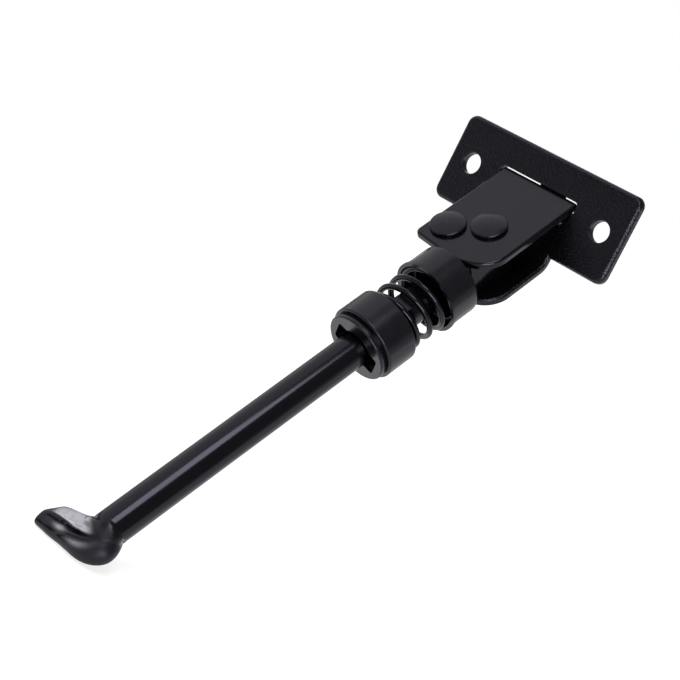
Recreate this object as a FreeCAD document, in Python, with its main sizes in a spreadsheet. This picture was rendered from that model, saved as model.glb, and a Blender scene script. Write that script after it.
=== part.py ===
"""Folding side stand of an electric scooter, as a parametric document in millimetres.

The origin is the middle of the two bolt holes on the plate's back face. +X runs along the plate,
+Y points into the scooter and +Z is up.

Two working frames have their origin on the pivot. Ear frame: x along the plate, y back along the
leg towards the plate, z along the pivot rivet. Leg frame: x along the plate, y along the pivot
rivet, z along the leg to its foot.
"""
import FreeCAD
import Part
import Sketcher

import math
import os

SIZES = {
    # mounting plate
    "sheet": 2.5,
    "plate_width": 66.5,
    "plate_height": 27.2,
    "plate_corner": 3.0,
    "plate_edge_round": 1.3,
    "bolt_spacing": 50.0,
    "bolt_bore": 6.4,
    "bolt_rim_round": 0.4,
    # place of the pivot, seen from the bolt holes, and the leg's slope below level
    "pivot_side": 1.7,
    "pivot_out": 12.6,
    "pivot_drop": 18.5,
    "splay": 45.0,
    # ears
    "ear_gap": 11.2,
    "ear_width": 28.2,
    "ear_front": 14.45,
    "ear_corner": 2.0,
    "ear_nose_corner": 9.0,
    "ear_edge_round": 0.8,
    "nose_radius": 15.9,
    "fold_radius": 3.0,
    "slot_gap": 0.35,
    "slot_side_gap": 0.5,
    "slot_corner": 1.2,
    "slot_rim_round": 0.4,
    "weld_leg": 3.0,
    "weld_short": 2.0,
    # rivets
    "rivet_shank": 6.2,
    "rivet_fit": 0.02,
    "rivet_head": 10.8,
    "rivet_rim": 1.0,
    "rivet_dome": 0.9,
    "rivet_rim_round": 0.35,
    "pivot_fit": 0.05,
    "stop_gap": 0.3,
    "stop_along": 6.85,
    # leg, with the shares of the bend and of the foot at which the heel and the toe stand
    "rod": 10.0,
    "head_width": 12.6,
    "head_length": 10.5,
    "head_taper": 2.5,
    "head_side_gap": 0.3,
    "tongue_thick": 7.4,
    "bend_start": 138.9,
    "bend_radius": 6.5,
    "bend_turn": 79.5,
    "heel_at": 0.35,
    "heel_width": 14.6,
    "heel_thick": 9.2,
    "heel_shift": 1.7,
    "foot_length": 12.0,
    "foot_width": 11.0,
    "foot_thick": 6.8,
    "foot_shift": -0.3,
    "toe_at": 0.65,
    "toe_width": 8.8,
    "toe_thick": 4.6,
    "toe_shift": -0.35,
    "tip_width": 4.4,
    "tip_thick": 2.6,
    "tip_shift": 1.1,
    # spring cups
    "nose_gap": 0.3,
    "upper_cup_outer": 21.6,
    "upper_cup_length": 10.7,
    "upper_cup_round": 1.2,
    "flange_outer": 22.4,
    "flange_thick": 0.9,
    "cup_floor": 2.3,
    "tongue_gap": 0.25,
    "lower_cup_outer": 22.4,
    "lower_cup_top": 41.3,
    "lower_cup_length": 10.3,
    "lower_cup_round": 0.6,
    "boss_outer": 20.6,
    "boss_height": 2.3,
    "boss_round": 0.5,
    "groove_width": 1.2,
    "groove_depth": 1.0,
    "spring_pocket": 5.0,
    "rod_gap": 0.3,
    "seat_wall": 2.0,
    "keyhole_bore": 11.6,
    "notch_reach": 15.2,
    "notch_width": 7.0,
    "notch_corner": 1.0,
    "notch_turn": -25.0,
    # cross pin
    "pin_dia": 3.0,
    "pin_fit": 0.02,
    "pin_seat_gap": 0.05,
    "pin_length": 14.4,
    # spring
    "wire": 1.8,
    "spring_outer": 19.6,
    "spring_turns": 5.3,
    "spring_wall_gap": 0.3,
    "spring_seat_gap": 0.1,
}

COS = "cos(Sizes.splay * 1 deg)"
SIN = "sin(Sizes.splay * 1 deg)"

# ears, in the ear frame
EAR_RIGHT = "(Sizes.ear_width / 2 - Sizes.pivot_side)"
EAR_LEFT = "(-Sizes.ear_width / 2 - Sizes.pivot_side)"
EAR_INNER = "(Sizes.ear_gap / 2)"
EAR_OUTER = "(Sizes.ear_gap / 2 + Sizes.sheet)"
EAR_REAR = f"((Sizes.pivot_out + {SIN} * {EAR_INNER}) / {COS})"
RIVET_HOLE = "(Sizes.rivet_shank + 2 * Sizes.rivet_fit)"
STOP_SIDE = "(-Sizes.head_width / 2 - Sizes.stop_gap - Sizes.rivet_shank / 2)"

# middle of the lower ear's fold in the plate's frame, and where the flat of the ear begins
FOLD_Y = "(-Sizes.sheet - Sizes.fold_radius)"
FOLD_Z = (f"(-Sizes.pivot_drop + (Sizes.fold_radius - {EAR_INNER}"
          f" + {SIN} * (Sizes.pivot_out + {FOLD_Y})) / {COS})")
FOLD_REAR = f"({COS} * (Sizes.pivot_out + {FOLD_Y}) + {SIN} * ({FOLD_Z} + Sizes.pivot_drop))"

# heights on the plate: the corner under the upper ear, and the slot that the ear goes through
EAR_MEETS_PLATE = (f"(-Sizes.pivot_drop + {SIN} / {COS} * (Sizes.pivot_out - Sizes.sheet)"
                   f" + {EAR_INNER} / {COS})")
SLOT_LOW = f"({EAR_MEETS_PLATE} - Sizes.slot_gap)"
SLOT_HIGH = f"(-Sizes.pivot_drop + {COS} * {EAR_OUTER} + {SIN} * {EAR_REAR} + Sizes.slot_gap)"

# places along the leg
TONGUE_TOP = "(Sizes.head_length + Sizes.head_taper)"
UPPER_CUP_TOP = "(Sizes.nose_radius + Sizes.nose_gap)"
UPPER_CUP_END = f"({UPPER_CUP_TOP} + Sizes.upper_cup_length)"
UPPER_SEAT = f"({UPPER_CUP_TOP} + Sizes.cup_floor)"
LOWER_SEAT = "(Sizes.lower_cup_top + Sizes.spring_pocket)"
KEYHOLE_FLOOR = f"({LOWER_SEAT} + Sizes.seat_wall)"
LOWER_CUP_SHOULDER = "(Sizes.lower_cup_top + Sizes.lower_cup_length)"
GROOVE_END = f"({LOWER_CUP_SHOULDER} + Sizes.groove_width)"
LOWER_CUP_END = f"({LOWER_CUP_SHOULDER} + Sizes.boss_height)"
PIN_ALONG = f"({KEYHOLE_FLOOR} + Sizes.pin_seat_gap + Sizes.pin_dia / 2)"
CUP_BORE = "(Sizes.spring_outer + 2 * Sizes.spring_wall_gap)"

# two lengths count as equal when they differ by less than this
SAME = 0.001

doc = FreeCAD.newDocument("SideStand")
sheet = doc.addObject("Spreadsheet::Sheet", "Sizes")
for row, (name, number) in enumerate(SIZES.items(), start=1):
    sheet.set(f"A{row}", str(number))
    sheet.setAlias(f"A{row}", name)
doc.recompute()


def value(formula):
    """Number that a formula gives with the sheet's sizes."""
    return float(sheet.evalExpression(formula))


def place(target, prefix, base, turn=None):
    """Ties a placement's position, and its turn about its axis, to formulas."""
    for letter, formula in zip("xyz", base):
        target.setExpression(f"{prefix}.Base.{letter}", formula)
    if turn:
        target.setExpression(f"{prefix}.Rotation.Angle", f"({turn}) * 1 deg")


def new_body(label):
    """Body in the plate's frame."""
    body = doc.addObject("PartDesign::Body", label)
    body.Label = label
    return body


def pivot_body(label, turn, side="0", along="0"):
    """Body turned about X, with its origin on the pivot or set off from it along X and the leg."""
    body = new_body(label)
    rotation = FreeCAD.Rotation(FreeCAD.Vector(1, 0, 0), value(turn))
    body.Placement = FreeCAD.Placement(FreeCAD.Vector(), rotation)
    base = (f"Sizes.pivot_side + {side}",
            f"-Sizes.pivot_out - {COS} * {along}",
            f"-Sizes.pivot_drop - {SIN} * {along}")
    place(body, "Placement", base, turn)
    return body


def ear_body(label, side="0", along="0"):
    """Body in the ear frame."""
    return pivot_body(label, "Sizes.splay", side, along)


def leg_body(label):
    """Body in the leg frame."""
    return pivot_body(label, "90 + Sizes.splay")


def new_sketch(body, role, name, base=None, axis=None, turn=None):
    """Sketch on one of the body's own origin planes, set off and turned by formulas."""
    sketch = body.newObject("Sketcher::SketchObject", name)
    planes = [feature for feature in body.Origin.OriginFeatures if feature.Role == role]
    sketch.AttachmentSupport = [(planes[0], "")]
    sketch.MapMode = "FlatFace"
    if axis:
        rotation = FreeCAD.Rotation(FreeCAD.Vector(*axis), value(turn))
        sketch.AttachmentOffset = FreeCAD.Placement(FreeCAD.Vector(), rotation)
    if base:
        place(sketch, "AttachmentOffset", base, turn)
    return sketch


def tie(sketch, constraint, formula):
    """Adds a sized constraint that follows a formula."""
    index = sketch.addConstraint(Sketcher.Constraint(*constraint, value(formula)))
    sketch.setExpression(f"Constraints[{index}]", formula)


def pin_point(sketch, geometry, end, point):
    """Holds a point of a sketch at a pair of formulas, measured from the sketch's origin."""
    for kind, formula, axis in (("DistanceX", point[0], -2), ("DistanceY", point[1], -1)):
        if formula == "0":
            sketch.addConstraint(Sketcher.Constraint("PointOnObject", geometry, end, axis))
        else:
            tie(sketch, (kind, -1, 1, geometry, end), formula)


def join_ends(sketch, joins):
    """Makes pairs of ends coincide, each given as line, end, line, end."""
    for join in joins:
        sketch.addConstraint(Sketcher.Constraint("Coincident", *join))


def flat_points(corners):
    """Points of a sketch at pairs of formulas."""
    return [FreeCAD.Vector(value(x), value(y), 0) for x, y in corners]


def round_point(radius, angle):
    """Point of a sketch at a distance from its origin, at an angle in radians."""
    return FreeCAD.Vector(radius * math.cos(angle), radius * math.sin(angle), 0)


def round_arc(centre, radius, start, end):
    """Arc of a circle in a sketch, anticlockwise between two angles in radians."""
    return Part.ArcOfCircle(Part.Circle(centre, FreeCAD.Vector(0, 0, 1), radius), start, end)


def draw_lines(sketch, points):
    """Straight lines from each point to the next."""
    for first, second in zip(points, points[1:]):
        sketch.addGeometry(Part.LineSegment(first, second), False)


def draw_polygon(sketch, corners):
    """Closed outline of straight lines through corners given as pairs of formulas."""
    points = flat_points(corners)
    first, count = sketch.GeometryCount, len(points)
    draw_lines(sketch, points + points[:1])
    join_ends(sketch, [(first + line, 2, first + (line + 1) % count, 1) for line in range(count)])
    for line, corner in enumerate(corners, start=first):
        pin_point(sketch, line, 1, corner)


def draw_box(sketch, low, high):
    """Upright rectangle between two opposite corners."""
    draw_polygon(sketch, [low, (high[0], low[1]), high, (low[0], high[1])])


def draw_circle(sketch, centre, diameter):
    """Circle at a pair of formulas."""
    middle = flat_points([centre])[0]
    circle = Part.Circle(middle, FreeCAD.Vector(0, 0, 1), value(diameter) / 2)
    index = sketch.addGeometry(circle, False)
    pin_point(sketch, index, 3, centre)
    tie(sketch, ("Diameter", index), diameter)


def draw_oval(sketch, wide, thick, shift):
    """Circle, or an upright ellipse, with its centre shifted along the sketch's y axis."""
    if wide == thick:
        draw_circle(sketch, ("0", shift), wide)
        return
    centre = FreeCAD.Vector(0, value(shift), 0)
    wide_end = centre + FreeCAD.Vector(0, value(wide) / 2, 0)
    thick_end = centre + FreeCAD.Vector(value(thick) / 2, 0, 0)
    oval = sketch.addGeometry(Part.Ellipse(wide_end, thick_end, centre), False)
    sketch.exposeInternalGeometry(oval)
    long_axis, short_axis = oval + 1, oval + 2
    sketch.addConstraint(Sketcher.Constraint("Vertical", long_axis))
    pin_point(sketch, oval, 3, ("0", shift))
    tie(sketch, ("Distance", long_axis), wide)
    tie(sketch, ("Distance", short_axis), thick)


def pad(body, sketch, length, side="One side"):
    """Solid raised from a sketch."""
    feature = body.newObject("PartDesign::Pad", sketch.Name + "_pad")
    feature.Profile = sketch
    feature.SideType = side
    feature.setExpression("Length", length)
    doc.recompute()


def cut(body, sketch, length=None):
    """Pocket of a given depth along the sketch's normal, or right through both ways."""
    before = body.Shape.Volume
    feature = body.newObject("PartDesign::Pocket", sketch.Name + "_cut")
    feature.Profile = sketch
    if length:
        feature.Reversed = True
        feature.setExpression("Length", length)
    else:
        feature.SideType = "Symmetric"
        feature.Type = "ThroughAll"
    doc.recompute()
    if body.Shape.Volume >= before:
        raise RuntimeError(f"{sketch.Name} removes nothing")


def revolve(body, sketch):
    """Full turn of a sketch about its own upright axis."""
    feature = body.newObject("PartDesign::Revolution", sketch.Name + "_turned")
    feature.Profile = sketch
    feature.ReferenceAxis = (sketch, ["V_Axis"])
    feature.Angle = 360
    doc.recompute()


def round_edges(body, name, radius, chosen):
    """Rounds the edges of the body that a test picks."""
    base = body.Tip
    edges = [f"Edge{number}" for number, edge in enumerate(base.Shape.Edges, start=1) if chosen(edge)]
    if not edges:
        raise RuntimeError(f"{name} finds no edge")
    feature = body.newObject("PartDesign::Fillet", name)
    feature.Base = (base, edges)
    feature.setExpression("Radius", radius)
    doc.recompute()


def near(first, second):
    """True for two equal lengths."""
    return abs(first - second) < SAME


def has_radius(edge, radius):
    """True for a circle or arc of a radius, and not for the point at the tip of a dome."""
    return not edge.Degenerated and isinstance(edge.Curve, Part.Circle) and near(edge.Curve.Radius, radius)


def from_axis(point):
    """Distance of a point from the body's z axis."""
    return math.hypot(point.x, point.y)


def circle_at(edge, radius, height):
    """True for a circle about the body's z axis at a height."""
    if not has_radius(edge, radius):
        return False
    centre = edge.Curve.Center
    return near(centre.z, height) and near(from_axis(centre), 0)


def runs_along(edge, axis):
    """True for a straight edge along X, Y or Z, given as 0, 1 or 2."""
    return isinstance(edge.Curve, Part.Line) and near(abs(edge.Curve.Direction[axis]), 1)


def lies_at(edge, axis, level):
    """True for an edge in the plane across X, Y or Z at a level."""
    return all(near(vertex.Point[axis], level) for vertex in edge.Vertexes)


def goes_through_sheet(edge):
    """True for a straight edge as long as the sheet is thick."""
    return isinstance(edge.Curve, Part.Line) and near(edge.Length, value("Sizes.sheet"))


def on_ear_outline(edge):
    """True for the edges of an ear's two faces, its rear end and its rivet holes left out."""
    at_hole = has_radius(edge, value(RIVET_HOLE) / 2)
    return not (at_hole or goes_through_sheet(edge) or runs_along(edge, 0))


def draw_ear(sketch, rear):
    """Ear seen along the rivets: a nose round the pivot, a sloping front edge and two rivet holes."""
    right, left = value(EAR_RIGHT), value(EAR_LEFT)
    front, nose = value("Sizes.ear_front"), value("Sizes.nose_radius")
    nose_start = math.atan2(-front, left) + math.acos(nose / math.hypot(left, front))
    nose_end = -math.acos(right / nose)
    sketch.addGeometry(round_arc(FreeCAD.Vector(), nose, nose_start, nose_end), False)
    corners = flat_points([(EAR_RIGHT, rear), (EAR_LEFT, rear), (EAR_LEFT, "-Sizes.ear_front")])
    draw_lines(sketch, [round_point(nose, nose_end), *corners, round_point(nose, nose_start)])
    arc, right_side, back, left_side, front_edge = range(5)
    join_ends(sketch, [(arc, 3, -1, 1), (arc, 2, right_side, 1), (right_side, 2, back, 1),
                       (back, 2, left_side, 1), (left_side, 2, front_edge, 1)])
    tie(sketch, ("Radius", arc), "Sizes.nose_radius")
    sketch.addConstraint(Sketcher.Constraint("Vertical", right_side))
    pin_point(sketch, right_side, 2, (EAR_RIGHT, rear))
    pin_point(sketch, back, 2, (EAR_LEFT, rear))
    pin_point(sketch, left_side, 2, (EAR_LEFT, "-Sizes.ear_front"))
    sketch.addConstraint(Sketcher.Constraint("Tangent", front_edge, 2, arc, 1))
    draw_circle(sketch, ("0", "0"), RIVET_HOLE)
    draw_circle(sketch, (STOP_SIDE, "-Sizes.stop_along"), RIVET_HOLE)


def finish_ear(body, name, left, behind):
    """Rounds an ear's two front corners, which a test tells from the rear ones, and then its edges."""
    right = left + value("Sizes.ear_width")
    for side, radius in ((left, "Sizes.ear_corner"), (right, "Sizes.ear_nose_corner")):
        def at_corner(edge):
            return lies_at(edge, 0, side) and goes_through_sheet(edge) and not behind(edge.BoundBox)
        round_edges(body, name + "_corner", radius, at_corner)
    round_edges(body, name + "_edges", "Sizes.ear_edge_round", on_ear_outline)


def make_bracket():
    """Mounting plate with its lower ear folded out of the same sheet."""
    body = make_plate()
    fold = body.newObject("PartDesign::Boolean", "fold_join")
    fold.Type = "Fuse"
    fold.setObjects([make_folded_ear()])
    doc.recompute()
    cut_slot(body)
    return body


def make_plate():
    """Flat plate with two bolt holes and rounded front edges."""
    body = new_body("bracket")
    half_width, half_height = "Sizes.plate_width / 2", "Sizes.plate_height / 2"
    outline = new_sketch(body, "XZ_Plane", "plate")
    draw_box(outline, (f"-{half_width}", f"-{half_height}"), (half_width, half_height))
    for sign in ("-", ""):
        draw_circle(outline, (f"{sign}Sizes.bolt_spacing / 2", "0"), "Sizes.bolt_bore")
    pad(body, outline, "Sizes.sheet")
    round_edges(body, "plate_corners", "Sizes.plate_corner", lambda edge: runs_along(edge, 1))
    front, bore = value("-Sizes.sheet"), value("Sizes.bolt_bore / 2")
    round_edges(body, "plate_front_edges", "Sizes.plate_edge_round",
                lambda edge: lies_at(edge, 1, front) and not has_radius(edge, bore))
    round_edges(body, "bolt_rims", "Sizes.bolt_rim_round",
                lambda edge: lies_at(edge, 1, front) and has_radius(edge, bore))
    return body


def cut_slot(body):
    """Slot in the plate that the upper ear goes through."""
    slot = new_sketch(body, "XZ_Plane", "slot")
    reach = "(Sizes.ear_width / 2 + Sizes.slot_side_gap)"
    draw_box(slot, (f"-{reach}", SLOT_LOW), (reach, SLOT_HIGH))
    cut(body, slot)
    slot_end, front = value(reach), value("-Sizes.sheet")
    round_edges(body, "slot_corners", "Sizes.slot_corner",
                lambda edge: runs_along(edge, 1) and near(abs(edge.BoundBox.XMin), slot_end))
    round_edges(body, "slot_rim", "Sizes.slot_rim_round",
                lambda edge: lies_at(edge, 1, front) and lies_at(edge, 2, value(SLOT_HIGH)))


def make_folded_ear():
    """Lower ear with the bend that leads up to the plate's foot."""
    body = new_body("folded_ear")
    fold = new_sketch(body, "YZ_Plane", "fold")
    draw_fold(fold)
    pad(body, fold, "Sizes.ear_width", "Symmetric")
    base = ("Sizes.pivot_side",
            f"-Sizes.pivot_out + {SIN} * {EAR_OUTER}",
            f"-Sizes.pivot_drop - {COS} * {EAR_OUTER}")
    ear = new_sketch(body, "XY_Plane", "lower_ear", base, (1, 0, 0), "Sizes.splay")
    draw_ear(ear, FOLD_REAR)
    pad(body, ear, "Sizes.sheet")
    fold_low = value(FOLD_Z) - value("Sizes.fold_radius + Sizes.sheet")
    finish_ear(body, "lower_ear", value("-Sizes.ear_width / 2"), lambda box: box.ZMax > fold_low)
    return body


def draw_fold(sketch):
    """Section of the sheet from the plate's foot round the bend to the flat of the lower ear."""
    inner = "Sizes.fold_radius"
    outer = "(Sizes.fold_radius + Sizes.sheet)"
    top = "(-Sizes.plate_height / 2 + Sizes.sheet)"
    corners = [
        ("0", FOLD_Z),
        ("0", top),
        ("-Sizes.sheet", top),
        ("-Sizes.sheet", FOLD_Z),
        (f"{FOLD_Y} + {inner} * {SIN}", f"{FOLD_Z} - {inner} * {COS}"),
        (f"{FOLD_Y} + {outer} * {SIN}", f"{FOLD_Z} - {outer} * {COS}"),
    ]
    points = flat_points(corners)
    draw_lines(sketch, points[:4])
    draw_lines(sketch, points[4:])
    centre = flat_points([(FOLD_Y, FOLD_Z)])[0]
    turn = math.radians(value("90 - Sizes.splay"))
    for radius in (inner, outer):
        sketch.addGeometry(round_arc(centre, value(radius), -turn, 0), False)
    back, top_edge, front, end, inner_arc, outer_arc = range(6)
    join_ends(sketch, [(back, 2, top_edge, 1), (top_edge, 2, front, 1), (front, 2, inner_arc, 2),
                       (inner_arc, 1, end, 1), (end, 2, outer_arc, 1), (outer_arc, 2, back, 1)])
    for line in (back, top_edge, front):
        pin_point(sketch, line, 1, corners[line])
    pin_point(sketch, front, 2, corners[3])
    for arc in (inner_arc, outer_arc):
        pin_point(sketch, arc, 3, (FOLD_Y, FOLD_Z))
    for point, corner in enumerate(corners[4:], start=1):
        tie(sketch, ("DistanceX", -1, 1, end, point), corner[0])


def make_upper_ear():
    """Flat ear that goes through the plate's slot and ends level with the plate's back."""
    body = ear_body("upper_ear")
    outline = new_sketch(body, "XY_Plane", "ear_outline", ("0", "0", EAR_INNER), (1, 0, 0), "0")
    draw_ear(outline, EAR_REAR)
    pad(body, outline, "Sizes.sheet")
    finish_ear(body, "upper_ear", value(EAR_LEFT), lambda box: box.YMax > 0)
    return body


def make_weld_bead():
    """Weld in the corner under the upper ear."""
    body = new_body("weld_bead")
    section = new_sketch(body, "YZ_Plane", "weld_section")
    front = "-Sizes.sheet"
    draw_polygon(section, [
        (front, EAR_MEETS_PLATE),
        (f"{front} - Sizes.weld_leg * {COS}", f"{EAR_MEETS_PLATE} - Sizes.weld_leg * {SIN}"),
        (front, f"{SLOT_LOW} - Sizes.weld_leg"),
    ])
    pad(body, section, "Sizes.ear_width - 2 * Sizes.weld_short", "Symmetric")
    return body


def make_rivet(label, side="0", along="0"):
    """Rivet through both ears, with a low domed head on each end."""
    body = ear_body(label, side, along)
    profile = new_sketch(body, "XZ_Plane", label + "_profile")
    draw_rivet(profile)
    revolve(body, profile)
    head, rim = value("Sizes.rivet_head / 2"), value(f"{EAR_OUTER} + Sizes.rivet_rim")
    round_edges(body, label + "_rims", "Sizes.rivet_rim_round",
                lambda edge: circle_at(edge, head, rim) or circle_at(edge, head, -rim))
    return body


def draw_rivet(sketch):
    """Half section of a rivet about its axis."""
    face, rim = EAR_OUTER, f"({EAR_OUTER} + Sizes.rivet_rim)"
    crown = f"({EAR_OUTER} + Sizes.rivet_rim + Sizes.rivet_dome)"
    shank, head = "Sizes.rivet_shank / 2", "Sizes.rivet_head / 2"
    steps = [(head, f"-{rim}"), (head, f"-{face}"), (shank, f"-{face}"),
             (shank, face), (head, face), (head, rim)]
    crowns = [("0", crown), ("0", f"-{crown}")]
    points, ends = flat_points(steps), flat_points(crowns)
    rise, half = value("Sizes.rivet_dome"), value(head)
    sphere = (half ** 2 + rise ** 2) / (2 * rise)
    middle = FreeCAD.Vector(half / 2, ends[0].y - sphere + math.sqrt(sphere ** 2 - half ** 2 / 4), 0)
    draw_lines(sketch, points)
    draw_lines(sketch, ends)
    sketch.addGeometry(Part.Arc(points[-1], middle, ends[0]), False)
    sketch.addGeometry(Part.Arc(ends[1], FreeCAD.Vector(middle.x, -middle.y, 0), points[0]), False)
    last_step, axis, upper_dome, lower_dome = range(4, 8)
    join_ends(sketch, [(line, 2, line + 1, 1) for line in range(last_step)])
    join_ends(sketch, [(last_step, 2, upper_dome, 1), (upper_dome, 2, axis, 1),
                       (axis, 2, lower_dome, 1), (lower_dome, 2, 0, 1)])
    for line, corner in enumerate(steps[:-1]):
        pin_point(sketch, line, 1, corner)
    pin_point(sketch, last_step, 2, steps[-1])
    for end, corner in enumerate(crowns, start=1):
        pin_point(sketch, axis, end, corner)
    for dome in (upper_dome, lower_dome):
        sketch.addConstraint(Sketcher.Constraint("PointOnObject", dome, 3, -2))


def make_leg():
    """Round rod with a forged eye, flats for the sliding cup, a bent foot and a hole for the cross pin."""
    body = leg_body("leg")
    head = new_sketch(body, "XZ_Plane", "head")
    draw_head(head)
    pad(body, head, "Sizes.ear_gap - 2 * Sizes.head_side_gap", "Symmetric")
    rod = new_sketch(body, "XY_Plane", "rod_section", ("0", "0", "Sizes.head_length"))
    draw_circle(rod, ("0", "0"), "Sizes.rod")
    pad(body, rod, "Sizes.bend_start - Sizes.head_length")
    flats = new_sketch(body, "YZ_Plane", "flats")
    for sign in ("-", ""):
        draw_box(flats, (f"{sign}Sizes.tongue_thick / 2", TONGUE_TOP), (f"{sign}Sizes.rod", LOWER_SEAT))
    cut(body, flats)
    pin_hole = cross_sketch(body, "pin_hole")
    draw_circle(pin_hole, ("0", PIN_ALONG), "Sizes.pin_dia + 2 * Sizes.pin_fit")
    cut(body, pin_hole)
    add_foot(body)
    return body


def draw_head(sketch):
    """Eye seen along the pivot: round behind the pivot, straight sides, a taper down to the rod."""
    half, rod = "Sizes.head_width / 2", "Sizes.rod / 2"
    corners = [(half, "0"), (half, "Sizes.head_length"), (rod, TONGUE_TOP), (f"-{rod}", TONGUE_TOP),
               (f"-{half}", "Sizes.head_length"), (f"-{half}", "0")]
    draw_lines(sketch, flat_points(corners))
    eye = sketch.addGeometry(round_arc(FreeCAD.Vector(), value(half), math.pi, 2 * math.pi), False)
    last_side = eye - 1
    join_ends(sketch, [(line, 2, line + 1, 1) for line in range(last_side)])
    join_ends(sketch, [(last_side, 2, eye, 1), (eye, 2, 0, 1), (eye, 3, -1, 1)])
    for line, corner in enumerate(corners[:-1]):
        pin_point(sketch, line, 1, corner)
    sketch.addConstraint(Sketcher.Constraint("PointOnObject", last_side, 2, -1))
    draw_circle(sketch, ("0", "0"), "Sizes.rivet_shank + 2 * Sizes.pivot_fit")


def add_foot(body):
    """Heel and foot: the rod bent to one side and pressed flatter towards the tip."""
    heel_turn, toe_run = "Sizes.bend_turn * Sizes.heel_at", "Sizes.foot_length * Sizes.toe_at"
    stations = [
        # turn round the bend, run past it, width across the bend, thickness, shift to the outside
        ("0", "0", "Sizes.rod", "Sizes.rod", "0"),
        (heel_turn, "0", "Sizes.heel_width", "Sizes.heel_thick", "Sizes.heel_shift"),
        ("Sizes.bend_turn", "0", "Sizes.foot_width", "Sizes.foot_thick", "Sizes.foot_shift"),
        ("Sizes.bend_turn", toe_run, "Sizes.toe_width", "Sizes.toe_thick", "Sizes.toe_shift"),
        ("Sizes.bend_turn", "Sizes.foot_length", "Sizes.tip_width", "Sizes.tip_thick", "Sizes.tip_shift"),
    ]
    sections = []
    for number, (turn, run, wide, thick, shift) in enumerate(stations):
        sine, cosine = f"sin({turn} * 1 deg)", f"cos({turn} * 1 deg)"
        along = f"Sizes.bend_start + Sizes.bend_radius * {sine} + {run} * {cosine}"
        side = f"-Sizes.bend_radius * (1 - {cosine}) - {run} * {sine}"
        section = new_sketch(body, "YZ_Plane", f"foot_{number}", ("0", along, side),
                             (1, 0, 0), f"90 - {turn}")
        draw_oval(section, wide, thick, shift)
        sections.append(section)
    foot = body.newObject("PartDesign::AdditiveLoft", "foot")
    foot.Profile = sections[0]
    foot.Sections = sections[1:]
    doc.recompute()


def make_upper_cup():
    """Sliding cup: a floor with a slot for the leg's flats, a wall round the spring and a flange."""
    body = leg_body("upper_cup")
    profile = new_sketch(body, "XZ_Plane", "upper_cup_profile")
    wall, bore, flange = "Sizes.upper_cup_outer / 2", f"{CUP_BORE} / 2", "Sizes.flange_outer / 2"
    flange_top = f"{UPPER_CUP_END} - Sizes.flange_thick"
    draw_polygon(profile, [
        ("0", UPPER_CUP_TOP), (wall, UPPER_CUP_TOP), (wall, flange_top), (flange, flange_top),
        (flange, UPPER_CUP_END), (bore, UPPER_CUP_END), (bore, UPPER_SEAT), ("0", UPPER_SEAT)])
    revolve(body, profile)
    slot = new_sketch(body, "XY_Plane", "tongue_slot", ("0", "0", UPPER_CUP_TOP))
    half_wide = "(Sizes.rod / 2 + Sizes.tongue_gap)"
    half_high = "(Sizes.tongue_thick / 2 + Sizes.tongue_gap)"
    draw_box(slot, (f"-{half_wide}", f"-{half_high}"), (half_wide, half_high))
    cut(body, slot)
    radius, top = value(wall), value(UPPER_CUP_TOP)
    round_edges(body, "upper_cup_rim", "Sizes.upper_cup_round", lambda edge: circle_at(edge, radius, top))
    return body


def make_lower_cup():
    """Fixed cup: a pocket for the spring, a grooved end and a bayonet opening that seats the cross pin."""
    body = leg_body("lower_cup")
    profile = new_sketch(body, "XZ_Plane", "lower_cup_profile")
    wall, boss, pocket = "Sizes.lower_cup_outer / 2", "Sizes.boss_outer / 2", f"{CUP_BORE} / 2"
    bore, keyhole = "(Sizes.rod / 2 + Sizes.rod_gap)", "Sizes.keyhole_bore / 2"
    groove = f"({boss} - Sizes.groove_depth)"
    draw_polygon(profile, [
        (pocket, "Sizes.lower_cup_top"), (wall, "Sizes.lower_cup_top"), (wall, LOWER_CUP_SHOULDER),
        (groove, LOWER_CUP_SHOULDER), (groove, GROOVE_END), (boss, GROOVE_END), (boss, LOWER_CUP_END),
        (keyhole, LOWER_CUP_END), (keyhole, KEYHOLE_FLOOR), (bore, KEYHOLE_FLOOR), (bore, LOWER_SEAT),
        (pocket, LOWER_SEAT)])
    revolve(body, profile)
    notch = new_sketch(body, "XY_Plane", "notches", ("0", "0", KEYHOLE_FLOOR),
                       (0, 0, 1), "Sizes.notch_turn")
    reach, half = "Sizes.notch_reach / 2", "Sizes.notch_width / 2"
    draw_box(notch, (f"-{reach}", f"-{half}"), (reach, half))
    cut(body, notch, f"{LOWER_CUP_END} - {KEYHOLE_FLOOR}")
    corner = value("sqrt(Sizes.notch_reach ^ 2 + Sizes.notch_width ^ 2) / 2")
    round_edges(body, "notch_corners", "Sizes.notch_corner",
                lambda edge: runs_along(edge, 2) and near(from_axis(edge.Vertexes[0].Point), corner))
    radius, ends = value(wall), (value("Sizes.lower_cup_top"), value(LOWER_CUP_SHOULDER))
    round_edges(body, "lower_cup_rims", "Sizes.lower_cup_round",
                lambda edge: any(circle_at(edge, radius, end) for end in ends))
    boss_radius, boss_end = value(boss), value(LOWER_CUP_END)
    round_edges(body, "boss_rim", "Sizes.boss_round", lambda edge: circle_at(edge, boss_radius, boss_end))
    return body


def cross_sketch(body, name):
    """Sketch across the cross pin, its y axis along the leg."""
    return new_sketch(body, "XZ_Plane", name, ("0", "0", "0"), (0, 1, 0), "90 + Sizes.notch_turn")


def make_cross_pin():
    """Pin through the rod, its ends in the lower cup's notches."""
    body = leg_body("cross_pin")
    section = cross_sketch(body, "pin_section")
    draw_circle(section, ("0", PIN_ALONG), "Sizes.pin_dia")
    pad(body, section, "Sizes.pin_length", "Symmetric")
    return body


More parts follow.
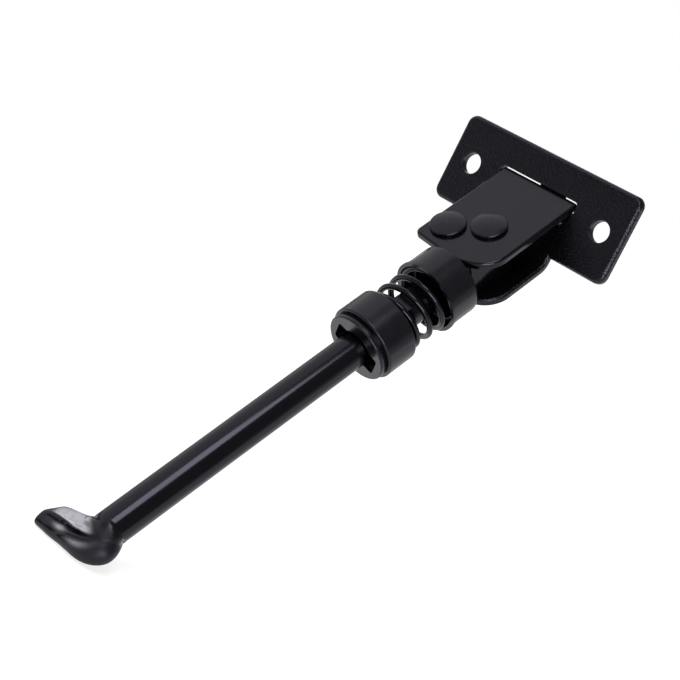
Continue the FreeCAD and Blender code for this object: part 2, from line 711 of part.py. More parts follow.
def make_spring():
    """Compression spring with plain ends, seated in both cups."""
    body = leg_body("spring")
    start = f"({UPPER_SEAT} + Sizes.spring_seat_gap + Sizes.wire / 2)"
    finish = f"({LOWER_SEAT} - Sizes.spring_seat_gap - Sizes.wire / 2)"
    section = new_sketch(body, "XZ_Plane", "wire_section")
    draw_circle(section, ("(Sizes.spring_outer - Sizes.wire) / 2", start), "Sizes.wire")
    coil = body.newObject("PartDesign::AdditiveHelix", "coil")
    coil.Profile = section
    coil.ReferenceAxis = (section, ["V_Axis"])
    coil.Mode = "height-turns-angle"
    coil.setExpression("Height", f"{finish} - {start}")
    coil.setExpression("Turns", "Sizes.spring_turns")
    doc.recompute()
    return body


def check(pieces):
    """Stops the build on a failed feature or a bad solid."""
    failed = [item.Name for item in doc.Objects if {"Invalid", "Error"} & set(item.State)]
    if failed:
        raise RuntimeError(f"failed features: {failed}")
    for piece in pieces:
        if piece.Shape.isNull() or not piece.Shape.isValid() or len(piece.Shape.Solids) != 1:
            raise RuntimeError(f"{piece.Label} is not one good solid")


pieces = [
    make_bracket(),
    make_upper_ear(),
    make_weld_bead(),
    make_rivet("pivot_rivet"),
    make_rivet("stop_rivet", STOP_SIDE, "Sizes.stop_along"),
    make_leg(),
    make_upper_cup(),
    make_lower_cup(),
    make_cross_pin(),
    make_spring(),
]
doc.recompute()
check(pieces)
os.makedirs("parts", exist_ok=True)
for piece in pieces:
    piece.Shape.exportStep(f"parts/{piece.Label}.step")
    print(piece.Label, round(piece.Shape.Volume, 2), len(piece.Shape.Solids))
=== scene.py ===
import math

import bmesh
import bpy
import numpy as np
from mathutils import Matrix, Vector


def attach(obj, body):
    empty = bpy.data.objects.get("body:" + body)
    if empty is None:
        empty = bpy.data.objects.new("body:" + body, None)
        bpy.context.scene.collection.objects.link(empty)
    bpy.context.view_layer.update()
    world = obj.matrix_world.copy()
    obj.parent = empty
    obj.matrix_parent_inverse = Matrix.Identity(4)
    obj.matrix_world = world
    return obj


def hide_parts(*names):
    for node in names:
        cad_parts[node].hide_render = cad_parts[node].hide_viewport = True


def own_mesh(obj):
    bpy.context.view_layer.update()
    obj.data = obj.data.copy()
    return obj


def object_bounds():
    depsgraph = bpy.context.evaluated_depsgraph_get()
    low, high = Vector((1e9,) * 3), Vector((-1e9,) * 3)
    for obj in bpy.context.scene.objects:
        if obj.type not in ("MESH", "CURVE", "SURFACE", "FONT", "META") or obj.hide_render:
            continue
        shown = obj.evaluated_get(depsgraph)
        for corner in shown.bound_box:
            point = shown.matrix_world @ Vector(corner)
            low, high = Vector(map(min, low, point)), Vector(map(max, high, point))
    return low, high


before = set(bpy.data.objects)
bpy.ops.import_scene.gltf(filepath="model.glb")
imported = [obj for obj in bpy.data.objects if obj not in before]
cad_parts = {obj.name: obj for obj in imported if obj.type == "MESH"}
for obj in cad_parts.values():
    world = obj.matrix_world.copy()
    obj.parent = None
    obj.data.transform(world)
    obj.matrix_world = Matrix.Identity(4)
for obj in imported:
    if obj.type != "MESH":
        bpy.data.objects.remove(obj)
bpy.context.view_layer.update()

# the sheet parts, cups, rivets and pin are the CAD nodes with coats; the leg, its spring and the
# welds are drawn again

MM = 0.001
WHITE = "#ffffff"
# in a copy of a CAD node, points this close become one, and edges that turn more stay sharp
MERGE_MM = 0.001
SHARP_ANGLE = math.radians(40)

# camera, from where the bolt holes, the ears and the rod stand in the picture
CAMERA_PLACE_MM = (248.5, -395.0, 21.65)
CAMERA_AIM_MM = (-15.75, -35.04, -60.63)
CAMERA_ROLL = math.radians(26.3)
CAMERA_LENS = 83.3
CAMERA_SENSOR = 36.0
CAMERA_CLIP_MM = 10

# studio: strength of the plain light around, and the share of its white that reflections see
AMBIENT = 0.12
WALL_SHARE = 0.05
FLOOR_HALF_MM = 4000
FLOOR_COLOUR = "#b8b8b8"
FLOOR_GLOW = 0.8
# two places in mm with the share at each: along Y before and behind the object, and outwards
# from a spot on the floor under the rod
FLOOR_FRONT = ((-450, -120), (0.1, 0.5))
FLOOR_BACK = ((150, 500), (0.0, 1.0))
FLOOR_SPOT = ((0, 160), (1.2, 0.0))
FLOOR_SPOT_MM = (-46, -43, -125.6)
MIDDLE_MM = (0, -70, -80)
DAYLIGHT_MM = (-200, -250, 1000)
DAYLIGHT = {"energy": 1.2, "angle": math.radians(30)}
PANELS = {
    # place, aim, brightness in reflections, width and height in mm
    "left_panel": ((-700, -170, 620), MIDDLE_MM, 0.58, 1500, 1500),
    "overhead_lamp": ((128, -325, 318), (-2, -105, -110), 4.3, 230, 210),
    "back_panel": ((700, 700, 60), MIDDLE_MM, 0.3, 900, 300),
    "back_left_panel": ((-650, 650, 250), MIDDLE_MM, 1.5, 480, 420),
    "right_panel": ((420, -390, -60), MIDDLE_MM, 10.0, 400, 120),
}
# panels that show in reflections and give no plain light
SHEEN_ONLY = ("right_panel",)

# coats: the cool cast that black ones give to what they reflect, how finely their noises break up,
# where most of a noise lies, and the peaks of the grain where a lighter colour is painted as
# glints
COOL_SHEEN = "#e2dff8"
CLOUD_DETAIL = 3.0
GRAIN_DETAIL = 2.0
NOISE_RANGE = (0.3, 0.7)
GLINT_RANGE = (0.58, 0.72)

# the foot's bare steel, partly coat rubbed through and partly a painted highlight where the foot
# shines bright, broken up by a noise that leaves some coat on it; and its dulled coat; both are
# shared out by an attribute of the leg's mesh
RUB_HIGHLIGHT, DULL = "rub_and_highlight", "dulled"
RUB_AND_HIGHLIGHT_STEEL = "#d8d7df"
RUB_AND_HIGHLIGHT_ROUGHNESS = 0.24
BREAKUP_MM = 1.5
BREAKUP_DETAIL = 3.0
BREAKUP_RANGE = (0.25, 0.65)
BREAKUP_SHARES = (0.75, 1.0)
DULL_ROUGHNESS = 0.3

# the pin's ground lines, about three of them in the given width
PIN_STEEL = "#8a8a8c"
PIN_ROUGHNESS = 0.3
PIN_LINES_MM = 4.0
PIN_LINE_WANDER = 2.0
PIN_LINE_DEPTH_MM = 0.01
PIN_LINE_STRENGTH = 0.4

# the leg's own directions and the route of its bent end, as in the CAD
PIVOT_MM = np.array((1.7, -12.6, -18.5))
ACROSS = np.array((1.0, 0.0, 0.0))
OFF = np.array((0.0, -1.0, 1.0)) / math.sqrt(2)
ALONG = np.array((0.0, -1.0, -1.0)) / math.sqrt(2)
BEND_START_MM = 138.9
BEND_RADIUS_MM = 6.5
BEND_TURN = math.radians(79.5)
# where the CAD leg is cut inside the lower cup, and how far the new rod laps over it
ROD_CUT_MM = 52.0
ROD_LAP_MM = 0.2
FOOT_ROWS = (
    # sections: run past the start of the bend, width, thickness, shift to the outside, in mm
    (-90.0, 10.0, 10.0, 0.0),
    (-1.0, 10.0, 10.0, 0.0),
    (3.16, 14.6, 9.2, 1.7),
    (9.02, 11.0, 6.8, -0.3),
    (16.82, 8.8, 4.6, -0.35),
    (21.0, 4.4, 2.6, 1.1),
)
# runs over which the oval section turns squarer, and the power that does it
SQUARING = ((12.0, 20.0), (1.0, 0.72))
RING_POINTS = 200
ROD_RINGS = 12
FINE_START_MM, FINE_STEP_MM = -4.0, 0.15
TIP_RINGS = 7
TIP_ROUND_MM = 0.4
TIP_SHRINK = 0.25

# marks of the press on the foot: runs past the start of the bend and depths in mm, angles round
# the rod in degrees from the outside of the bend; a fade pairs runs with strengths
RIDGE = ((2.0, 4.3, 6.8, 11.7, 17.4, 21.0), (42, 51, 72, 91, 110, 118))
SHELF = ((2.0, 5.0, 8.0, 12.0, 15.0, 21.0), (36, 44, 52, 36, 16, 8))
FACET_DEPTH, FACET_SPAN = 0.7, 66
FACET_FADE = ((2.5, 6.0, 17.5, 20.5), (0, 1, 1, 0))
SCOOP_DEPTH, SCOOP_LEAN = 1.15, 1.4
SCOOP_FADE = ((3.0, 7.0, 10.5, 13.6), (0, 1, 1, 0))
TIP_DEPTH, LIP_ANGLE = 0.5, 5
TIP_FADE = ((11.5, 14.5, 18.0, 20.5), (0, 1, 1, 0))
LEAF_DEPTH = 0.6
LEAF_MIDDLE = ((4.4, 12.2), (36, 24))
LEAF_HALF = ((4.4, 6.0, 8.2, 10.0, 12.2), (1, 10, 14, 11, 1))
CREASES = (
    # angles, runs, depth, half width: the fold under the heel, then the wrinkles of the inner bend
    ((-40, -18, -1, 14, 28, 37, 50), (-1.3, -0.4, 0.7, 1.3, 2.2, 3.2, 4.4), 0.4, 0.7),
    ((30, 50, 69, 109, 150, 180), (1.1, 1.5, 2.1, 2.4, 2.6, 2.6), 0.22, 0.9),
    ((130, 150, 185), (7.4, 7.7, 7.9), 0.35, 0.6),
)
CREASE_FADE = 12

# where the foot shows bare steel, partly rubbed and partly a painted highlight: on the facet, from
# just past the ridge to the far side, and less in the two hollows, which are painted highlights;
# and where it is dulled, round the heel
RUB_AND_HIGHLIGHT_FADE = ((3.2, 5.8, 16.5, 19.0), (0, 1, 1, 0))
RUB_AND_HIGHLIGHT_EDGE = ((2, 9), (0, 1))
RUB_AND_HIGHLIGHT_FAR_SIDE = ((150, 175), (1, 0))
# painted highlights in the two hollows, drawn as bright spots of bare steel
HOLLOW_HIGHLIGHTS = (
    # run, half run, angle, half angle, strength
    (12.6, 2.0, 50, 11, 0.75),
    (6.8, 2.0, 31, 6, 0.6),
)
DULL_FADE = ((0.0, 1.4, 6.0, 10.0), (0, 1, 1, 0))
DULL_ANGLES = ((-120, -60, 62, 85), (0, 1, 1, 0))

# weld runs in mm: middle, length, half sizes of a ripple; then how the ripples follow each other,
# lean and differ, and how fine the skin over them is
CORNER_WELD_MM = ((0.0, -3.3, -2.75), 27.5, (1.3, 1.3, 0.85))
SLOT_WELD_MM = ((4.3, -0.75, 3.75), 10.0, (1.1, 0.6, 0.5))
SLOT_END_WELD_MM = ((13.3, -1.3, -0.05), 3.4, (0.95, 0.95, 0.95))
WELD_STEP_MM = 0.95
WELD_TILT = math.radians(60)
WELD_SPREAD = 0.1
WELD_SEED = 3
WELD_SKIN_MM = 0.12
RIPPLE_DIVISIONS = 4


def colour(hex_text):
    """Linear colour of an sRGB hex value."""
    parts = [int(hex_text[start:start + 2], 16) / 255 for start in (1, 3, 5)]
    linear = [part / 12.92 if part <= 0.04045 else ((part + 0.055) / 1.055) ** 2.4
              for part in parts]
    return (*linear, 1.0)


def cells_per_metre(size_mm):
    """Texture scale that makes one cell of a pattern the given size."""
    return 1 / (size_mm * MM)


def feed(node, inputs):
    """Sets a node's inputs, and links those that are given another node's socket."""
    for name, source in inputs.items():
        if isinstance(source, bpy.types.NodeSocket):
            node.id_data.links.new(source, node.inputs[name])
        else:
            node.inputs[name].default_value = source


def add(tree, kind, settings=None, inputs=None):
    """Adds a node with its settings and inputs."""
    node = tree.nodes.new(kind)
    for name, setting in (settings or {}).items():
        setattr(node, name, setting)
    feed(node, inputs or {})
    return node


def new_material(name, shader_values):
    """Node material with its surface shader and the object's own coordinates."""
    material = bpy.data.materials.new(name)
    material.use_nodes = True
    tree = material.node_tree
    tree.nodes.clear()
    shader = add(tree, "ShaderNodeBsdfPrincipled", inputs=shader_values)
    add(tree, "ShaderNodeOutputMaterial", inputs={"Surface": shader.outputs["BSDF"]})
    place = add(tree, "ShaderNodeTexCoord").outputs["Object"]
    return material, tree, shader, place


def black_coat(name, tones, drift_mm, roughness, grain_mm, depth_mm, glint_colour=None):
    """Black coating whose tone and gloss drift over the piece, on a skin with a fine relief.

    A lighter colour, where one is given, is painted on the peaks of the relief as glints.
    """
    material, tree, shader, place = new_material(name, {
        "Metallic": 0.0, "IOR": 1.5, "Specular IOR Level": 0.5,
        "Specular Tint": colour(COOL_SHEEN)})
    cloud, grain = (
        add(tree, "ShaderNodeTexNoise", inputs={
            "Vector": place, "Scale": cells_per_metre(size_mm), "Detail": detail}).outputs["Fac"]
        for size_mm, detail in ((drift_mm, CLOUD_DETAIL), (grain_mm, GRAIN_DETAIL)))
    ramp = add(tree, "ShaderNodeValToRGB", inputs={"Fac": cloud})
    for stop, tone in zip(ramp.color_ramp.elements, tones):
        stop.color = colour(tone)
    skin = ramp.outputs["Color"]
    if glint_colour:
        peak = add(tree, "ShaderNodeMapRange", inputs={
            "Value": grain, "From Min": GLINT_RANGE[0], "From Max": GLINT_RANGE[1]})
        skin = add(tree, "ShaderNodeMix", {"data_type": "RGBA"}, {
            "Factor": peak.outputs["Result"], "A": skin, "B": colour(glint_colour)}).outputs["Result"]
    gloss = add(tree, "ShaderNodeMapRange", inputs={
        "Value": cloud, "From Min": NOISE_RANGE[0], "From Max": NOISE_RANGE[1],
        "To Min": roughness[0], "To Max": roughness[1]})
    bump = add(tree, "ShaderNodeBump", inputs={
        "Height": grain, "Strength": 1.0, "Distance": depth_mm * MM})
    feed(shader, {"Base Color": skin, "Roughness": gloss.outputs["Result"],
                  "Normal": bump.outputs["Normal"]})
    return material


def show_foot_steel(material):
    """Shows bare steel where the foot's coat is rubbed and where highlights are painted on as
    steel, and roughens it where it is dulled.
    """
    tree = material.node_tree
    shader = tree.nodes["Principled BSDF"]
    place = tree.nodes["Texture Coordinate"].outputs["Object"]
    skin, gloss = (shader.inputs[name].links[0].from_socket
                   for name in ("Base Color", "Roughness"))
    rub_and_highlight, dull = (add(tree, "ShaderNodeAttribute", {"attribute_name": name}).outputs["Fac"]
                  for name in (RUB_HIGHLIGHT, DULL))
    breakup = add(tree, "ShaderNodeTexNoise", inputs={
        "Vector": place, "Scale": cells_per_metre(BREAKUP_MM), "Detail": BREAKUP_DETAIL})
    patch = add(tree, "ShaderNodeMapRange", inputs={
        "Value": breakup.outputs["Fac"], "From Min": BREAKUP_RANGE[0], "From Max": BREAKUP_RANGE[1],
        "To Min": BREAKUP_SHARES[0], "To Max": BREAKUP_SHARES[1]})
    bare = add(tree, "ShaderNodeMath", {"operation": "MULTIPLY", "use_clamp": True}, {
        0: rub_and_highlight, 1: patch.outputs["Result"]}).outputs["Value"]
    rough = add(tree, "ShaderNodeMath", {"operation": "MULTIPLY_ADD"}, {
        0: dull, 1: DULL_ROUGHNESS, 2: gloss}).outputs["Value"]
    steel_skin = add(tree, "ShaderNodeMix", {"data_type": "RGBA"}, {
        "Factor": bare, "A": skin, "B": colour(RUB_AND_HIGHLIGHT_STEEL)})
    steel_gloss = add(tree, "ShaderNodeMix", {"data_type": "FLOAT"}, {
        "Factor": bare, "A": rough, "B": RUB_AND_HIGHLIGHT_ROUGHNESS})
    feed(shader, {"Base Color": steel_skin.outputs["Result"], "Metallic": bare,
                  "Roughness": steel_gloss.outputs["Result"]})


def ground_steel():
    """Bare ground steel: grey metal whose fine lines streak its highlight."""
    material, tree, shader, place = new_material("ground_steel_bare", {
        "Metallic": 1.0, "Base Color": colour(PIN_STEEL), "Roughness": PIN_ROUGHNESS})
    lines = add(tree, "ShaderNodeTexWave", {"bands_direction": "X"}, {
        "Vector": place, "Scale": cells_per_metre(PIN_LINES_MM), "Distortion": PIN_LINE_WANDER})
    bump = add(tree, "ShaderNodeBump", inputs={
        "Height": lines.outputs["Fac"], "Strength": PIN_LINE_STRENGTH,
        "Distance": PIN_LINE_DEPTH_MM * MM})
    feed(shader, {"Normal": bump.outputs["Normal"]})
    return material


def coat_mesh(mesh, material):
    """Gives a mesh one material all over."""
    mesh.materials.clear()
    mesh.materials.append(material)


def new_object(name, contents):
    """Object in the scene, at the origin."""
    thing = bpy.data.objects.new(name, contents)
    bpy.context.scene.collection.objects.link(thing)
    return thing


def seen_white(tree, shine):
    """Share of plain white that a ray finds.

    It is all of it for the camera and through glass, and in reflections it is shine, which is a
    number or a socket.
    """
    path = add(tree, "ShaderNodeLightPath").outputs
    direct = add(tree, "ShaderNodeMath", {"operation": "MAXIMUM"}, {
        0: path["Is Camera Ray"], 1: path["Is Transmission Ray"]})
    share = add(tree, "ShaderNodeMath", {"operation": "MULTIPLY_ADD"}, {
        0: path["Is Glossy Ray"], 1: shine, 2: direct.outputs["Value"]})
    return share.outputs["Value"]


def make_floor():
    """Floor at the foot's lowest point, which shows white to the camera and keeps the shadow."""
    low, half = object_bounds()[0][2], FLOOR_HALF_MM * MM
    mesh = bpy.data.meshes.new("floor")
    corners = [(-half, -half, low), (half, -half, low), (half, half, low), (-half, half, low)]
    mesh.from_pydata(corners, [], [(0, 1, 2, 3)])
    floor = new_object("floor", mesh)
    material, tree, shader, place = new_material("studio_floor_white", {
        "Base Color": colour(FLOOR_COLOUR), "Roughness": 1.0, "Specular IOR Level": 0.0,
        "Emission Color": colour(WHITE)})
    depth = add(tree, "ShaderNodeSeparateXYZ", inputs={"Vector": place}).outputs["Y"]
    reach = add(tree, "ShaderNodeVectorMath", {"operation": "DISTANCE"}, {
        0: place, 1: Vector(FLOOR_SPOT_MM) * MM}).outputs["Value"]
    front, back, spot = (
        add(tree, "ShaderNodeMapRange", inputs={
            "Value": distance, "From Min": start * MM, "From Max": end * MM,
            "To Min": first, "To Max": last}).outputs["Result"]
        for distance, ((start, end), (first, last)) in (
            (depth, FLOOR_FRONT), (depth, FLOOR_BACK), (reach, FLOOR_SPOT)))
    shine = front
    for share in (back, spot):
        shine = add(tree, "ShaderNodeMath", {"operation": "MAXIMUM"}, {
            0: shine, 1: share}).outputs["Value"]
    glow = add(tree, "ShaderNodeMath", {"operation": "MULTIPLY"}, {
        0: seen_white(tree, shine), 1: FLOOR_GLOW})
    feed(shader, {"Emission Strength": glow.outputs["Value"]})
    coat_mesh(mesh, material)


def make_world():
    """White surroundings for the camera, a share of them in reflections, dim light otherwise."""
    world = bpy.data.worlds.new("studio")
    bpy.context.scene.world = world
    world.use_nodes = True
    tree = world.node_tree
    tree.nodes.clear()
    dim, white = (
        add(tree, "ShaderNodeBackground", inputs={
            "Color": colour(WHITE), "Strength": strength}).outputs["Background"]
        for strength in (AMBIENT, 1.0))
    mix = add(tree, "ShaderNodeMixShader", inputs={
        "Fac": seen_white(tree, WALL_SHARE), 1: dim, 2: white})
    add(tree, "ShaderNodeOutputWorld", inputs={"Surface": mix.outputs["Shader"]})


def look_at(place_mm, aim_mm, roll=0.0):
    """Placement of a lamp or camera at a place, aimed at another and rolled about its view."""
    place, aim = Vector(place_mm) * MM, Vector(aim_mm) * MM
    turn = (aim - place).to_track_quat("-Z", "Y").to_matrix().to_4x4()
    return Matrix.Translation(place) @ turn @ Matrix.Rotation(roll, 4, "Z")


def add_lamp(name, kind, place_mm, aim_mm, settings):
    """Studio lamp that the camera doesn't see; a sun doesn't show in reflections either."""
    light = bpy.data.lights.new(name, kind)
    for setting, number in settings.items():
        setattr(light, setting, number)
    lamp = new_object(name, light)
    lamp.matrix_world = look_at(place_mm, aim_mm)
    lamp.visible_camera = False
    lamp.visible_glossy = kind != "SUN"
    lamp.visible_diffuse = name not in SHEEN_ONLY


def panel_settings(brightness, wide_mm, high_mm):
    """Settings of a flat panel lamp that shows the given brightness in reflections."""
    wide, high = wide_mm * MM, high_mm * MM
    return {"shape": "RECTANGLE", "size": wide, "size_y": high,
            "energy": brightness * math.pi * wide * high}


def make_camera():
    """Camera at the photograph's place."""
    lens = bpy.data.cameras.new("camera")
    lens.lens = CAMERA_LENS
    lens.sensor_width = CAMERA_SENSOR
    lens.clip_start = CAMERA_CLIP_MM * MM
    camera = new_object("camera", lens)
    camera.matrix_world = look_at(CAMERA_PLACE_MM, CAMERA_AIM_MM, CAMERA_ROLL)
    bpy.context.scene.camera = camera


def eased(share):
    """Share from 0 to 1 with a soft start and end."""
    return share * share * (3 - 2 * share)


def faded(run, fade):
    """Strength of a mark at a run, eased between the runs of its fade."""
    return eased(np.interp(run, *fade))


def hump(share, lean=1.0):
    """Smooth rise and fall between shares 0 and 1, leaning towards 1."""
    return np.sin(math.pi * np.clip(share, 0, 1) ** lean) ** 2


def section_at(run):
    """Width, thickness and shift of the rod at a run, eased so that none overshoots its rows."""
    table = np.array(FOOT_ROWS)
    steps = np.diff(table[:, 0])
    slopes = np.diff(table[:, 1:], axis=0) / steps[:, None]
    before, after = slopes[:-1], slopes[1:]
    both = before * after > 0
    tangents = np.zeros((len(table), slopes.shape[1]))
    tangents[1:-1][both] = (2 * before * after)[both] / (before + after)[both]
    tangents[-1] = slopes[-1]
    row = min(max(np.searchsorted(table[:, 0], run) - 1, 0), len(steps) - 1)
    step = steps[row]
    share = (run - table[row, 0]) / step
    low, high = table[row, 1:], table[row + 1, 1:]
    return (low + (high - low) * eased(share) + step * share * (1 - share)
            * (tangents[row] * (1 - share) - tangents[row + 1] * share))


def press_depth(run, angles):
    """How far the press pushed the foot's surface in at a run, for each angle round the rod."""
    ridge, shelf = np.interp(run, *RIDGE), np.interp(run, *SHELF)
    pressed = FACET_DEPTH * faded(run, FACET_FADE) * hump((angles - ridge) / FACET_SPAN)
    pressed += SCOOP_DEPTH * faded(run, SCOOP_FADE) * hump(
        (angles - shelf) / (ridge - shelf), SCOOP_LEAN)
    pressed += TIP_DEPTH * faded(run, TIP_FADE) * hump(
        (angles - LIP_ANGLE) / (ridge - LIP_ANGLE))
    leaf_start, leaf_end = LEAF_MIDDLE[0]
    if leaf_start < run < leaf_end:
        half = np.interp(run, *LEAF_HALF)
        pressed += LEAF_DEPTH * half / max(LEAF_HALF[1]) * hump(
            (angles - np.interp(run, *LEAF_MIDDLE) + half) / (2 * half), SCOOP_LEAN)
    for crease_angles, crease_runs, depth, half_width in CREASES:
        first, last = crease_angles[0], crease_angles[-1]
        fade = np.interp(
            angles, (first, first + CREASE_FADE, last - CREASE_FADE, last), (0, 1, 1, 0))
        gap = (run - np.interp(angles, crease_angles, crease_runs)) / half_width
        pressed += depth * fade * np.exp(-gap * gap)
    return pressed


def bare_steel_share(run, angles):
    """Share of bare steel at a run, for each angle round the rod: coat rubbed through, and
    highlights painted on as steel.
    """
    rub_and_highlight = faded(run, RUB_AND_HIGHLIGHT_FADE) * np.interp(angles - np.interp(run, *RIDGE), *RUB_AND_HIGHLIGHT_EDGE)
    rub_and_highlight *= np.interp(angles, *RUB_AND_HIGHLIGHT_FAR_SIDE)
    for spot_run, half_run, spot_angle, half_angle, strength in HOLLOW_HIGHLIGHTS:
        gap = ((run - spot_run) / half_run) ** 2 + ((angles - spot_angle) / half_angle) ** 2
        rub_and_highlight += strength * np.exp(-gap)
    return rub_and_highlight


def foot_ring(run, shrink=1.0):
    """Points round the rod at a run past the start of the bend, with their share of bare steel,
    partly rubbed and partly painted highlight, and their dullness.
    """
    turn = min(max(run / BEND_RADIUS_MM, 0), BEND_TURN)
    past = run - BEND_RADIUS_MM * turn
    side = -BEND_RADIUS_MM * (1 - math.cos(turn)) - past * math.sin(turn)
    along = BEND_START_MM + BEND_RADIUS_MM * math.sin(turn) + past * math.cos(turn)
    outside = ACROSS * math.cos(turn) + ALONG * math.sin(turn)
    width, thick, shift = section_at(run)
    around = np.linspace(0, 2 * math.pi, RING_POINTS, endpoint=False)
    power = np.interp(run, *SQUARING)
    outward, upward = (np.sign(wave) * np.abs(wave) ** power
                       for wave in (np.cos(around), np.sin(around)))
    out = shift + shrink * width / 2 * outward
    up = shrink * thick / 2 * upward
    angles = np.degrees(np.arctan2(up, out))
    keep = 1 - press_depth(run, angles) / np.hypot(out, up)
    middle = PIVOT_MM + ACROSS * side + ALONG * along
    points = middle + np.outer(out * keep, outside) + np.outer(up * keep, OFF)
    dull = faded(run, DULL_FADE) * np.interp(angles, *DULL_ANGLES)
    return np.column_stack((points * MM, bare_steel_share(run, angles), dull))


def leg_rings():
    """Rings of the rod from inside the lower cup to the rounded tip of its foot."""
    end = FOOT_ROWS[-1][0]
    coarse = np.linspace(ROD_CUT_MM - ROD_LAP_MM - BEND_START_MM, FINE_START_MM, ROD_RINGS)
    fine = np.arange(FINE_START_MM + FINE_STEP_MM, end - TIP_ROUND_MM, FINE_STEP_MM)
    rings = [foot_ring(run) for run in (*coarse, *fine)]
    for turn in np.linspace(0, math.pi / 2, TIP_RINGS):
        run = end - TIP_ROUND_MM * (1 - math.sin(turn))
        rings.append(foot_ring(run, 1 - TIP_SHRINK + TIP_SHRINK * math.cos(turn)))
    return rings


def merged_copy(node):
    """Copy of a CAD node's mesh as one skin."""
    skin = bmesh.new()
    skin.from_mesh(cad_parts[node].data)
    bmesh.ops.remove_doubles(skin, verts=skin.verts, dist=MERGE_MM * MM)
    return skin


def piece_from_skin(name, skin):
    """Piece with smooth faces and sharp corners from a skin that is done with."""
    bmesh.ops.recalc_face_normals(skin, faces=skin.faces[:])
    mesh = bpy.data.meshes.new(name)
    skin.to_mesh(mesh)
    skin.free()
    # the CAD's shading came along with the copy, and doesn't fit the merged skin
    mesh.attributes.remove(mesh.attributes["custom_normal"])
    mesh.shade_smooth()
    mesh.set_sharp_from_angle(angle=SHARP_ANGLE)
    return new_object(name, mesh)


def shorten_spring(spring):
    """Gives the spring a mesh of its own."""
    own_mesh(spring)


def make_leg():
    """Leg whose foot shows the press: the CAD eye and flats, with the rod drawn again below."""
    skin = merged_copy("leg")
    cut = bmesh.ops.bisect_plane(
        skin, geom=skin.verts[:] + skin.edges[:] + skin.faces[:],
        plane_co=(PIVOT_MM + ALONG * ROD_CUT_MM) * MM, plane_no=ALONG, clear_outer=True)
    rim = [part for part in cut["geom_cut"] if isinstance(part, bmesh.types.BMEdge)]
    bmesh.ops.edgeloop_fill(skin, edges=rim)
    layers = skin.verts.layers.float
    for name in (RUB_HIGHLIGHT, DULL):
        layers.new(name)
    # looked up once both are there, because a new layer makes the one before it stale
    rub_highlight_layer, dull = layers[RUB_HIGHLIGHT], layers[DULL]
    rings = []
    # each point gets its share of bare steel, partly rubbed and partly painted highlight, and its
    # dullness
    for ring in leg_rings():
        rings.append([skin.verts.new(point[:3]) for point in ring])
        for vert, point in zip(rings[-1], ring):
            vert[rub_highlight_layer], vert[dull] = point[3:]
    for ring, later in zip(rings, rings[1:]):
        for place in range(RING_POINTS):
            skin.faces.new((ring[place - 1], ring[place], later[place], later[place - 1]))
    skin.faces.new(rings[0])
    skin.faces.new(rings[-1])
    return piece_from_skin("pressed_leg", skin)


def weld_tree():
    """Geometry Nodes that repeat a ripple along a line, each a little off in size."""
    tree = bpy.data.node_groups.new("weld_ripples", "GeometryNodeTree")
    tree.interface.new_socket("Geometry", in_out="OUTPUT", socket_type="NodeSocketGeometry")
    kinds = {"Geometry": "Geometry", "Start": "Vector", "Step": "Vector", "Count": "Int",
             "Ripple": "Vector", "Tilt": "Float", "Spread": "Float", "Material": "Material"}
    for name, kind in kinds.items():
        tree.interface.new_socket(name, in_out="INPUT", socket_type=f"NodeSocket{kind}")
    given = add(tree, "NodeGroupInput").outputs
    line = add(tree, "GeometryNodeMeshLine", {"mode": "OFFSET"}, {
        "Count": given["Count"], "Start Location": given["Start"], "Offset": given["Step"]})
    ball = add(tree, "GeometryNodeMeshIcoSphere", inputs={
        "Radius": 1.0, "Subdivisions": RIPPLE_DIVISIONS})
    least, most = (
        add(tree, "ShaderNodeMath", {"operation": operation}, {
            0: 1.0, 1: given["Spread"]}).outputs["Value"]
        for operation in ("SUBTRACT", "ADD"))
    size = add(tree, "FunctionNodeRandomValue", {"data_type": "FLOAT"}, {
        "Min": least, "Max": most, "Seed": WELD_SEED})
    scale = add(tree, "ShaderNodeVectorMath", {"operation": "SCALE"}, {
        0: given["Ripple"], "Scale": size.outputs["Value"]})
    turn = add(tree, "ShaderNodeCombineXYZ", inputs={"X": given["Tilt"]})
    ripples = add(tree, "GeometryNodeInstanceOnPoints", inputs={
        "Points": line.outputs["Mesh"], "Instance": ball.outputs["Mesh"],
        "Rotation": turn.outputs["Vector"], "Scale": scale.outputs["Vector"]})
    real = add(tree, "GeometryNodeRealizeInstances", inputs={
        "Geometry": ripples.outputs["Instances"]})
    coated = add(tree, "GeometryNodeSetMaterial", inputs={
        "Geometry": real.outputs["Geometry"], "Material": given["Material"]})
    add(tree, "NodeGroupOutput", inputs={"Geometry": coated.outputs["Geometry"]})
    return tree


def make_weld(name, tree, material, middle_mm, length_mm, ripple_mm):
    """Rippled run of weld along the ear, drawn together into one skin."""
    count = round((length_mm - 2 * ripple_mm[0]) / WELD_STEP_MM) + 1
    start = Vector(middle_mm) - Vector(((count - 1) / 2 * WELD_STEP_MM, 0, 0))
    given = {"Start": start * MM, "Step": Vector((WELD_STEP_MM, 0, 0)) * MM, "Count": count,
             "Ripple": Vector(ripple_mm) * MM, "Tilt": WELD_TILT, "Spread": WELD_SPREAD,
             "Material": material}
    weld = new_object(name, bpy.data.meshes.new(name))
    ripples = weld.modifiers.new("ripples", "NODES")
    ripples.node_group = tree
    for socket in tree.interface.items_tree:
        if socket.name in given:
            ripples[socket.identifier] = given[socket.name]
    skin = weld.modifiers.new("skin", "REMESH")
    skin.mode, skin.voxel_size, skin.use_smooth_shade = "VOXEL", WELD_SKIN_MM * MM, True
    evaluated = weld.evaluated_get(bpy.context.evaluated_depsgraph_get())
    final = bpy.data.meshes.new_from_object(evaluated)
    weld.modifiers.clear()
    weld.data = final
    return weld


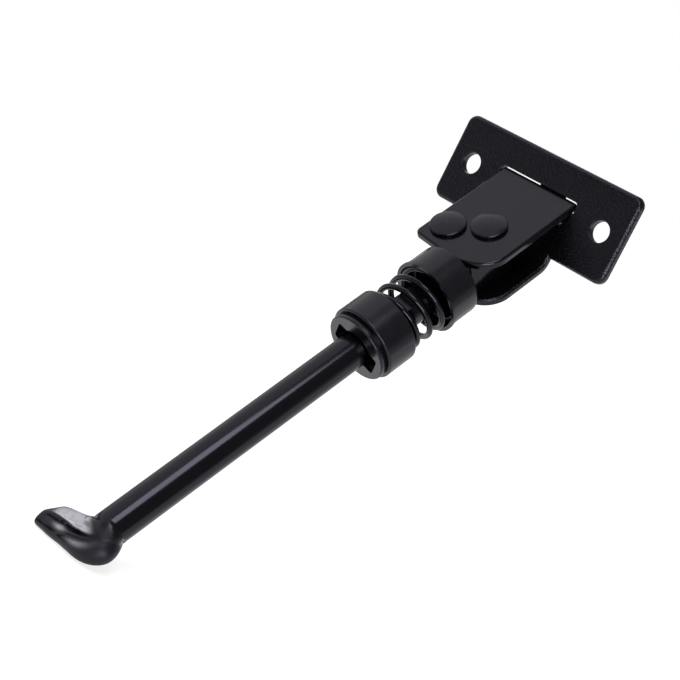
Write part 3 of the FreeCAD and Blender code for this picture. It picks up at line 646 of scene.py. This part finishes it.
def dress(piece, body, material, node=None):
    """Gives a piece its finish, hides the CAD node it stands for, if any, and attaches it to the
    body it rides on.
    """
    coat_mesh(piece.data, material)
    if node:
        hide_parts(node)
    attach(piece, body)


# grainy and satin: the grain, drawn deeper than a real one so that it shows, breaks the light on
# the plate, and lighter specks are painted on its peaks as glints
plate_coat = black_coat(
    "powder_coat_black", tones=("#070709", "#0a0a0c"), drift_mm=9.0, roughness=(0.24, 0.3),
    grain_mm=0.6, depth_mm=0.17, glint_colour="#18181b")
# smoother than the plate, so the ear shows one even grey sheen
ear_coat = black_coat(
    "dipped_satin_black", tones=("#0b0b0e", "#0f0f12"), drift_mm=6.0, roughness=(0.17, 0.21),
    grain_mm=1.6, depth_mm=0.004)
# wider, softer sheen on the pressed cups, with a slightly lighter black
cup_coat = black_coat(
    "drawn_cup_satin_black", tones=("#161719", "#1b1b1f"), drift_mm=5.0, roughness=(0.22, 0.27),
    grain_mm=1.4, depth_mm=0.005)
# tight bright dots on the formed heads
rivet_coat = black_coat(
    "black_oxide_rivet", tones=("#09090b", "#101013"), drift_mm=3.0, roughness=(0.16, 0.22),
    grain_mm=1.2, depth_mm=0.004)
# oiled and smooth, so each turn carries thin bright lines
wire_coat = black_coat(
    "oil_tempered_wire", tones=("#070709", "#0b0b0d"), drift_mm=3.0, roughness=(0.13, 0.18),
    grain_mm=1.0, depth_mm=0.003)
# the glossiest black: a bright line runs down the rod, and bare steel shows on the foot where it
# is rubbed and where highlights are painted on
rod_coat = black_coat(
    "stoved_lacquer_black", tones=("#08080a", "#0c0c0e"), drift_mm=12.0, roughness=(0.15, 0.2),
    grain_mm=2.5, depth_mm=0.005)
show_foot_steel(rod_coat)

node_finishes = {
    "bracket": plate_coat, "upper_ear": ear_coat, "upper_cup": cup_coat, "lower_cup": cup_coat,
    "pivot_rivet": rivet_coat, "stop_rivet": rivet_coat, "cross_pin": ground_steel()}
for node_name, node_finish in node_finishes.items():
    coat_mesh(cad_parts[node_name].data, node_finish)

coil = piece_from_skin("coil_spring", merged_copy("spring"))
dress(coil, "leg_unit", wire_coat, "spring")
shorten_spring(coil)
dress(make_leg(), "leg_unit", rod_coat, "leg")
ripple_tree = weld_tree()
corner_weld = make_weld("corner_weld", ripple_tree, ear_coat, *CORNER_WELD_MM)
dress(corner_weld, "bracket_unit", ear_coat, "weld_bead")
slot_weld = make_weld("slot_weld", ripple_tree, ear_coat, *SLOT_WELD_MM)
dress(slot_weld, "bracket_unit", ear_coat)
slot_end_weld = make_weld("slot_end_weld", ripple_tree, ear_coat, *SLOT_END_WELD_MM)
dress(slot_end_weld, "bracket_unit", ear_coat)

make_floor()
make_world()
add_lamp("daylight", "SUN", DAYLIGHT_MM, MIDDLE_MM, DAYLIGHT)
for panel_name, (place_mm, aim_mm, brightness, wide_mm, high_mm) in PANELS.items():
    panel = panel_settings(brightness, wide_mm, high_mm)
    add_lamp(panel_name, "AREA", place_mm, aim_mm, panel)
make_camera()
bpy.context.scene.view_settings.view_transform = "Standard"
